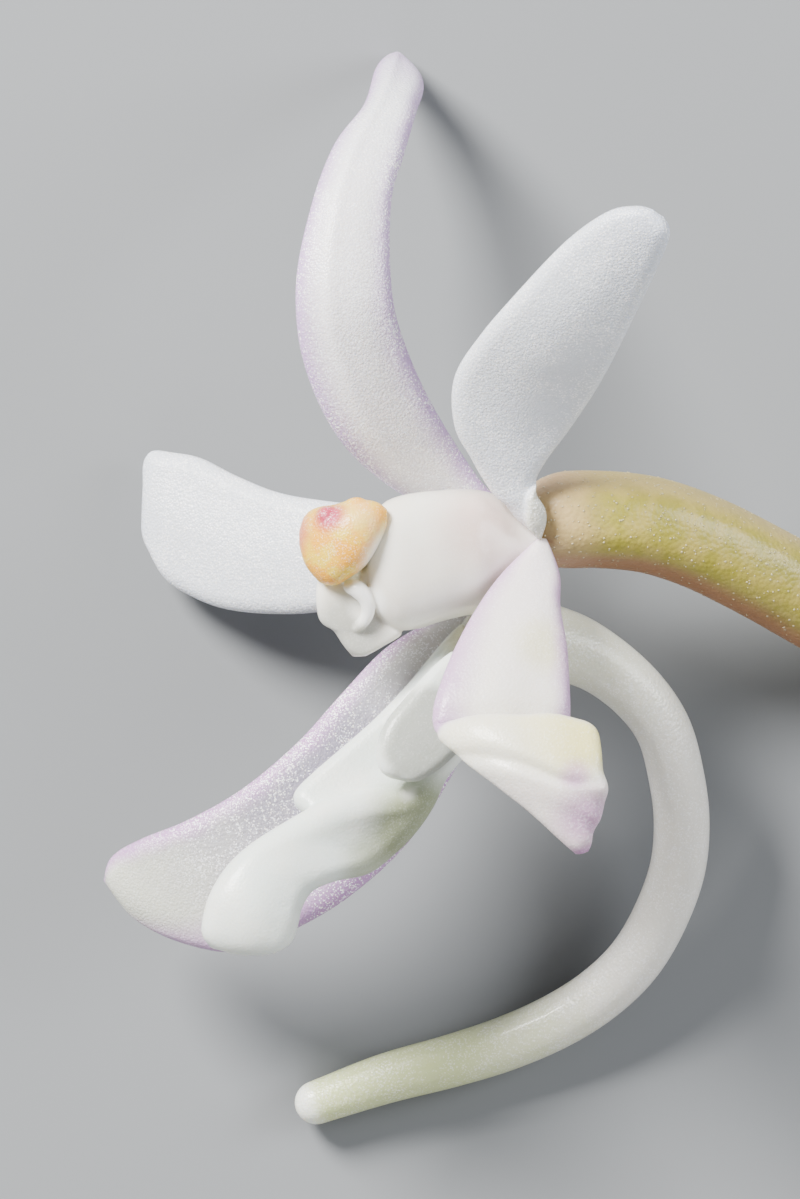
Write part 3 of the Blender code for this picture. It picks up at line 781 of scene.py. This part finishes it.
# Each stain: its place, its inner and outer reach in millimetres, its strength and its colour.
COLUMN_STAINS = [
    ((-1.30, 0.35, 1.20), 0.20, 1.50, 0.70, (0.70, 0.50, 0.45)),
    ((-0.90, -1.30, 0.60), 0.20, 1.20, 0.60, (0.74, 0.66, 0.46)),
    ((-4.10, -0.65, 1.40), 0.15, 0.45, 0.70, (0.74, 0.70, 0.36)),
    ((-4.20, -1.95, 0.90), 0.50, 1.10, 0.80, (0.36, 0.37, 0.33)),
    ((-3.82, -1.42, 1.60), 0.35, 0.60, 0.90, (0.92, 0.91, 0.86)),
]


def plain(along, across, down, over):
    """No relief."""
    return 0.0 * (along + across)


def ring_faces(start, sides):
    """The faces between one ring of points and the next, which follows it in the list."""
    turns = [(k, (k + 1) % sides) for k in range(sides)]
    return [(start + k, start + sides + k, start + sides + n, start + n) for k, n in turns]


def lofted(sections, rings=90, sides=64, fullness=2.3):
    """Points and faces of a body through upright oval sections."""
    x, y, z, wide, high = spline(sections, np.arange(rings + 1) / rings)[:, :, None].transpose(1, 0, 2)
    turn = np.arange(sides) * 2 * math.pi / sides
    c, s = (np.sign(v) * np.abs(v) ** (2 / fullness) for v in (np.cos(turn), np.sin(turn)))
    points = np.stack([x + 0 * c, y + np.maximum(wide, 0.01) * c, z + np.maximum(high, 0.01) * s], axis=-1)
    faces = [tuple(range(sides)), tuple(range(rings * sides, (rings + 1) * sides))[::-1]]
    for k in range(rings):
        faces += ring_faces(k * sides, sides)
    return points.reshape(-1, 3), faces


def egg(centre, halves, turn=0.0, rings=24, sides=36):
    """Points and faces of an egg with three half widths, turned in plan by an angle in degrees."""
    points = [(0.0, 0.0, 1.0)]
    for a in np.arange(1, rings) * math.pi / rings:
        for b in np.arange(sides) * 2 * math.pi / sides:
            points.append((math.sin(a) * math.cos(b), math.sin(a) * math.sin(b), math.cos(a)))
    points.append((0.0, 0.0, -1.0))
    last = len(points) - 1
    faces = [(0, 1 + k, 1 + (k + 1) % sides) for k in range(sides)]
    for row in range(rings - 2):
        faces += ring_faces(1 + row * sides, sides)
    faces += [(last - sides + k, last, last - sides + (k + 1) % sides) for k in range(sides)]
    c, s = math.cos(math.radians(turn)), math.sin(math.radians(turn))
    return np.array(points) * halves @ np.array([[c, s, 0], [-s, c, 0], [0, 0, 1]]) + centre, faces


def bead_row(line, radii, count=24):
    """Overlapping small eggs along a line, for a rounded ridge."""
    at = np.linspace(0, 1, count)
    sizes = spline(np.array(radii)[:, None], at)[:, 0]
    return [egg(centre, (r, r, r), rings=8, sides=12) for centre, r in zip(spline(line, at), sizes)]


def fused(name, bodies, cell, smoothing, tissue):
    """One closed skin round several bodies that overlap, drawn smooth where they meet. Cell is in mm."""
    mesh = bpy.data.meshes.new(name + "_start")
    points, faces, count = [], [], 0
    for body_points, body_faces in bodies:
        points.append(body_points)
        faces += [tuple(int(k) + count for k in face) for face in body_faces]
        count += len(body_points)
    mesh.from_pydata(np.vstack(points), [], faces)
    obj = linked(name, mesh)
    skin = obj.modifiers.new("skin", "REMESH")
    skin.mode, skin.voxel_size = "VOXEL", cell
    smooth = obj.modifiers.new("smooth", "SMOOTH")
    smooth.factor, smooth.iterations = 0.5, smoothing
    made = evaluated_mesh(obj)
    obj.modifiers.clear()
    obj.data = made
    made.name = name
    bpy.data.meshes.remove(mesh)
    where = np.empty(len(made.vertices) * 3)
    made.vertices.foreach_get("co", where)
    made.vertices.foreach_set("co", ((where.reshape(-1, 3) + JOINT) * MM).reshape(-1))
    closed_up(made, tissue)
    return obj


def with_spots(tissue, ground, spots):
    """The ground colour with soft round spots over it; on the lip some of them are painted shade and a
    painted highlight.
    """
    for place, inner, outer, strength, colour in spots:
        ground = tissue.mix(tissue.spot(place, inner, outer) * strength, ground, colour)
    return ground


def column_skin():
    """Cream and white wax, with a faint blush above, and a clear grey tip to the beak."""
    tissue = Tissue("column_tissue", roughness=0.30, glow=0.45, depth=0.5, coat=0.25)
    cream = tissue.mix(tissue.step(tissue.clouds(1.2), 0.3, 0.7), COLUMN_CREAM, COLUMN_WHITE)
    tissue.colour(painted_glints(tissue, with_spots(tissue, cream, COLUMN_STAINS), 0.10))
    tissue.skin(tissue.clouds(0.2, 3.0), 0.006)
    return tissue


beak = blade_shell(margins(COLUMN_BEAK), BEAK_THICKNESS, BEAK_RIM, plain, rows=60, columns=30)[:2]
lumps = [egg(*lump) for lump in COLUMN_LUMPS]
column_bodies = [lofted(COLUMN_SECTIONS), beak, *lumps, *bead_row(CREST, CREST_RADII)]
column = fused("column_flesh", column_bodies, COLUMN_CELL, smoothing=4, tissue=column_skin())
finished(column, "column")


# The anther cap. It is a loose soft cap over the pollen at the end of the column, yellow with a magenta
# stain. It is one swollen skin with four low bumps.
ANTHER_SECTIONS = [
    (-5.23, 0.04, 1.22, 0.16, 0.12),
    (-5.14, 0.01, 1.23, 0.46, 0.32),
    (-5.00, -0.03, 1.27, 0.66, 0.45),
    (-4.78, -0.09, 1.33, 0.81, 0.58),
    (-4.46, -0.11, 1.42, 0.88, 0.68),
    (-4.13, 0.02, 1.50, 0.84, 0.70),
    (-3.80, 0.15, 1.55, 0.72, 0.62),
    (-3.52, 0.33, 1.56, 0.48, 0.44),
    (-3.32, 0.48, 1.56, 0.18, 0.20),
]
ANTHER_BUMPS = [
    ((-4.02, 0.76, 1.62), (0.26, 0.16, 0.26), 10),
    ((-4.62, 0.50, 1.62), (0.26, 0.24, 0.28), 0),
    ((-3.72, 0.60, 1.70), (0.24, 0.20, 0.24), -20),
    ((-4.62, -0.78, 1.36), (0.30, 0.20, 0.28), -20),
]
ANTHER_CELL = 0.035
POLLEN_YELLOW = (0.76, 0.52, 0.03)
AMBER = (0.79, 0.37, 0.01)
ANTHER_STAINS = [
    ((-3.90, 0.45, 1.90), 0.15, 0.60, 0.60, (0.80, 0.56, 0.24)),
    ((-3.50, 0.58, 1.80), 0.06, 0.30, 0.80, (0.84, 0.36, 0.02)),
    ((-5.25, 0.20, 1.30), 0.18, 0.70, 0.90, (0.60, 0.20, 0.12)),
    ((-4.58, 0.54, 1.90), 0.14, 0.54, 0.95, (0.46, 0.03, 0.11)),
    ((-4.66, -0.78, 1.60), 0.05, 0.32, 0.80, (0.86, 0.38, 0.01)),
    ((-3.45, -0.30, 1.60), 0.20, 0.85, 0.90, (0.84, 0.81, 0.72)),
]


def anther_skin():
    """Yellow clouded with amber, under a peach, an orange, a brick, a magenta and a whitish stain."""
    tissue = Tissue("anther_tissue", roughness=0.38, glow=0.35, depth=0.3, coat=0.15)
    yellow = tissue.mix(tissue.step(tissue.clouds(0.40, 2.0), 0.36, 0.60), POLLEN_YELLOW, AMBER)
    tissue.colour(painted_glints(tissue, with_spots(tissue, yellow, ANTHER_STAINS), 0.24))
    tissue.skin(tissue.cells(0.055) + (tissue.clouds(0.35, 3.0) - 0.5) * 1.5, -0.010)
    return tissue


anther_bodies = [lofted(ANTHER_SECTIONS), *(egg(*bump) for bump in ANTHER_BUMPS)]
anther = fused("anther_cap_flesh", anther_bodies, ANTHER_CELL, smoothing=4, tissue=anther_skin())
finished(anther, "anther_cap")


# The lip. Its fleshy middle lobe comes out over the far sepal, swells and ends blunt, and a side lobe stands
# on each side of its root. It is one waxy, slightly green growth from the foot of the column.
LIP_THICKNESS = 0.88
LIP_RIM = 0.55
SIDE_LOBE_THICKNESS = 0.50
SIDE_LOBE_RIM = 0.30
MIDDLE_LOBE = [
    (-1.70, -2.17, 0.20, -0.43, -2.50, 0.20, 0.00),
    (-2.17, -3.48, 0.40, -0.87, -3.74, 0.35, 0.00),
    (-2.72, -4.67, 0.80, -1.52, -4.57, 0.50, -0.05),
    (-2.95, -5.20, 0.95, -2.02, -5.11, 0.52, -0.05),
    (-3.25, -5.45, 1.12, -2.35, -5.78, 0.48, -0.05),
    (-4.00, -5.52, 1.28, -2.72, -6.35, 0.50, -0.06),
    (-4.75, -5.72, 1.40, -3.22, -6.87, 0.60, -0.05),
    (-5.50, -6.10, 1.52, -3.74, -7.26, 0.88, 0.00),
    (-6.20, -6.52, 1.65, -4.46, -7.41, 1.22, 0.15),
    (-6.74, -7.00, 1.72, -4.96, -7.61, 1.42, 0.28),
    (-7.13, -7.61, 1.75, -5.20, -8.00, 1.56, 0.36),
    (-7.30, -8.15, 1.75, -5.26, -8.30, 1.62, 0.34),
    (-7.33, -8.54, 1.72, -5.39, -8.70, 1.66, 0.22),
    (-7.13, -8.87, 1.70, -5.76, -8.98, 1.68, 0.00),
]
FAR_SIDE_LOBE = [
    (-1.70, -1.78, -0.08, -0.87, -2.39, 0.05, 0.00),
    (-2.20, -2.30, -0.05, -1.35, -3.26, 0.20, 0.00),
    (-2.90, -3.15, 0.05, -1.96, -4.24, 0.42, -0.04),
    (-3.60, -3.88, 0.22, -2.45, -5.15, 0.66, -0.06),
    (-4.30, -4.50, 0.36, -2.90, -5.60, 0.80, -0.06),
    (-4.95, -5.07, 0.46, -3.60, -5.85, 0.92, -0.04),
    (-5.33, -5.48, 0.56, -4.40, -6.00, 0.95, -0.02),
    (-5.33, -5.80, 0.66, -4.95, -6.06, 0.88, 0.00),
]
NEAR_SIDE_LOBE = [
    (-1.91, -2.39, 0.95, -0.87, -3.26, 0.80, 0.00),
    (-2.35, -2.76, 1.15, -1.09, -3.74, 0.98, 0.02),
    (-2.93, -3.41, 1.35, -1.43, -4.24, 1.18, 0.04),
    (-3.37, -3.96, 1.50, -1.78, -4.61, 1.32, 0.05),
    (-3.57, -4.52, 1.58, -2.17, -4.96, 1.42, 0.05),
    (-3.50, -4.96, 1.60, -2.61, -5.22, 1.48, 0.03),
    (-3.26, -5.17, 1.60, -2.93, -5.24, 1.55, 0.00),
]
LIP_CELL = 0.045
LIP_GREEN_WHITE = (0.70, 0.76, 0.72)
LIP_WHITE = (0.75, 0.78, 0.73)
# Spots on the lip: painted olive shade on the shaded side of the middle lobe and in its trough, a
# yellow-green
# tint at the root, grey on the near side lobe, and a painted white highlight for the wet glint on the middle
# lobe.
LIP_STAINS_SHADE_AND_HIGHLIGHT = [
    ((-2.60, -6.30, 1.00), 0.70, 1.60, 0.90, (0.22, 0.25, 0.13)),
    ((-3.80, -7.00, 1.20), 0.20, 0.90, 0.70, (0.34, 0.37, 0.23)),
    ((-1.40, -1.90, 0.30), 0.30, 1.20, 0.70, (0.62, 0.58, 0.30)),
    ((-2.45, -4.20, 1.80), 0.90, 1.25, 0.90, (0.38, 0.40, 0.36)),
    ((-2.85, -5.45, 1.40), 0.08, 0.35, 0.80, (0.95, 0.96, 0.95)),
]


def lip_skin():
    """Green-white wax, with painted olive shade along the shaded side, grey on the near lobe and one painted
    white highlight.
    """
    tissue = Tissue("lip_tissue", roughness=0.36, glow=0.45, depth=0.55, coat=0.15)
    waxy = tissue.mix(tissue.step(tissue.clouds(1.0), 0.3, 0.7), LIP_GREEN_WHITE, LIP_WHITE)
    tissue.colour(painted_glints(tissue, with_spots(tissue, waxy, LIP_STAINS_SHADE_AND_HIGHLIGHT), 0.12))
    tissue.skin(tissue.cells(0.06) * 0.5 + tissue.clouds(0.3), -0.010)
    return tissue


lobes = [blade_shell(margins(MIDDLE_LOBE), LIP_THICKNESS, LIP_RIM, plain, rows=70, columns=30)[:2]]
for outline in (FAR_SIDE_LOBE, NEAR_SIDE_LOBE):
    side_lobe = blade_shell(margins(outline), SIDE_LOBE_THICKNESS, SIDE_LOBE_RIM, plain, rows=60, columns=26)
    lobes.append(side_lobe[:2])
lip = fused("lip_flesh", lobes, LIP_CELL, smoothing=6, tissue=lip_skin())
finished(lip, "lip_and_spur")


# The nectar spur. A long thin tail grows down from the root of the lip, bends round and ends in a round
# glassy tip, whose shine is a painted highlight. Its wall is translucent, greener towards the tip, and set
# with tiny clear cells, whose glints are painted.
SPUR_LINE = [
    (-1.30, -2.00, -0.20),
    (-0.43, -2.09, -0.22),
    (0.54, -2.30, -0.55),
    (1.37, -2.70, -0.80),
    (2.15, -3.35, -1.10),
    (2.70, -4.13, -1.45),
    (2.98, -5.11, -1.85),
    (3.11, -6.13, -2.25),
    (3.02, -7.20, -2.60),
    (2.63, -8.28, -2.95),
    (2.08, -9.20, -3.20),
    (1.32, -9.94, -3.45),
    (0.38, -10.54, -3.65),
    (-0.76, -11.04, -3.76),
    (-1.96, -11.42, FLOOR + 0.60),
    (-3.37, -11.80, FLOOR + 0.58),
    (-4.87, -12.32, -3.80),
]
SPUR_RADII = [0.44, 0.80, 0.78, 0.69, 0.64] + [0.61] * 8 + [0.60, 0.58, 0.55, 0.48]
SPUR_RINGS = 420
SPUR_FACETS = 64
SPUR_ROOT = (0.70, 0.71, 0.55)
SPUR_WALL = (0.71, 0.69, 0.64)
SPUR_GREEN = (0.56, 0.62, 0.30)
SPUR_TIP_HIGHLIGHT = (0.84, 0.86, 0.76)


def spur_skin():
    """Creamy from the root on, green over the last third, and clear at the very tip under a pale painted
    highlight.
    """
    tissue = Tissue("spur_tissue", roughness=0.30, glow=0.55, depth=0.6, coat=0.25)
    along = tissue.own("along")
    drift = tissue.clouds(0.7, 3.0) - 0.5
    wall = tissue.mix(tissue.step(along + drift * 0.1, 0.05, 0.35), SPUR_ROOT, SPUR_WALL)
    wall = tissue.mix(tissue.step(along + drift * 0.1, 0.58, 0.84) * 0.9, wall, SPUR_GREEN)
    # Painted highlight: the very tip is painted pale for its glassy shine.
    wall = tissue.mix(tissue.step(along, 0.965, 0.99), wall, SPUR_TIP_HIGHLIGHT)
    tissue.colour(painted_glints(tissue, wall, 0.45))
    tissue.skin(tissue.cells(0.07) + tissue.clouds(0.3) * 0.6, -0.014)
    return tissue


spur = stem(
    "spur_flesh", SPUR_LINE, SPUR_RADII, SPUR_RINGS, SPUR_FACETS, ribs=0, rib_depth=0.0,
    tissue=spur_skin(), round_tip=True,
)
finished(spur, "lip_and_spur")


# The table and the lights. The bloom lies on a plain painted table under three soft round studio lights, and
# the camera looks straight down on it from far off.
TABLE_HALF = 0.6
TABLE_GREY = (0.20, 0.21, 0.22, 1)
# Each light: its place and its width in millimetres, its watts and its colour.
LIGHTS = {
    "key_light": ((-110, 115, 120), 80, 1.75, (1.0, 0.98, 0.95)),
    "side_light": ((150, 40, 90), 90, 0.32, (0.96, 0.98, 1.0)),
    "low_light": ((-40, -160, 80), 110, 0.12, (1.0, 0.99, 0.97)),
}
LIGHT_AIM = np.array((0.0, 0.0, 4.0))
AIR_COLOUR = (0.86, 0.87, 0.90, 1)
AIR_STRENGTH = 0.32
PHOTO_CENTRE = JOINT + np.array((-3.043, -1.293, 0.0))
PHOTO_HEIGHT = 26.07
CAMERA_DISTANCE = 450.0

floor = bpy.data.meshes.new("table_top")
corners = [(-TABLE_HALF, -TABLE_HALF, 0), (TABLE_HALF, -TABLE_HALF, 0)]
corners += [(TABLE_HALF, TABLE_HALF, 0), (-TABLE_HALF, TABLE_HALF, 0)]
floor.from_pydata(corners, [], [(0, 1, 2, 3)])
table_paint = bpy.data.materials.new("table_paint")
table_paint.use_nodes = True
table_paint.node_tree.nodes["Principled BSDF"].inputs["Base Color"].default_value = TABLE_GREY
table_paint.node_tree.nodes["Principled BSDF"].inputs["Roughness"].default_value = 0.85
floor.materials.append(table_paint)
linked("table_top", floor)


def soft_light(name, place, width, watts, colour):
    """A round lamp that points at the bloom."""
    lamp = bpy.data.lights.new(name, "AREA")
    lamp.shape, lamp.size, lamp.energy, lamp.color = "DISK", width * MM, watts, colour
    obj = linked(name, lamp)
    obj.location = [c * MM for c in place]
    ray = LIGHT_AIM - np.array(place, float)
    yaw = math.atan2(ray[1], ray[0])
    tilt = math.acos(-ray[2] / np.linalg.norm(ray))
    obj.rotation_euler = (tilt, 0.0, yaw - math.pi / 2)


for light, values in LIGHTS.items():
    soft_light(light, *values)
world = bpy.data.worlds.new("studio_air")
world.use_nodes = True
world.node_tree.nodes["Background"].inputs["Color"].default_value = AIR_COLOUR
world.node_tree.nodes["Background"].inputs["Strength"].default_value = AIR_STRENGTH
bpy.context.scene.world = world

camera = bpy.data.cameras.new("camera")
camera.lens = camera.sensor_width * CAMERA_DISTANCE / PHOTO_HEIGHT
camera.clip_start, camera.clip_end = 0.02, 5.0
camera_object = linked("camera", camera)
camera_object.location = (PHOTO_CENTRE + np.array((0, 0, CAMERA_DISTANCE))) * MM
bpy.context.scene.camera = camera_object
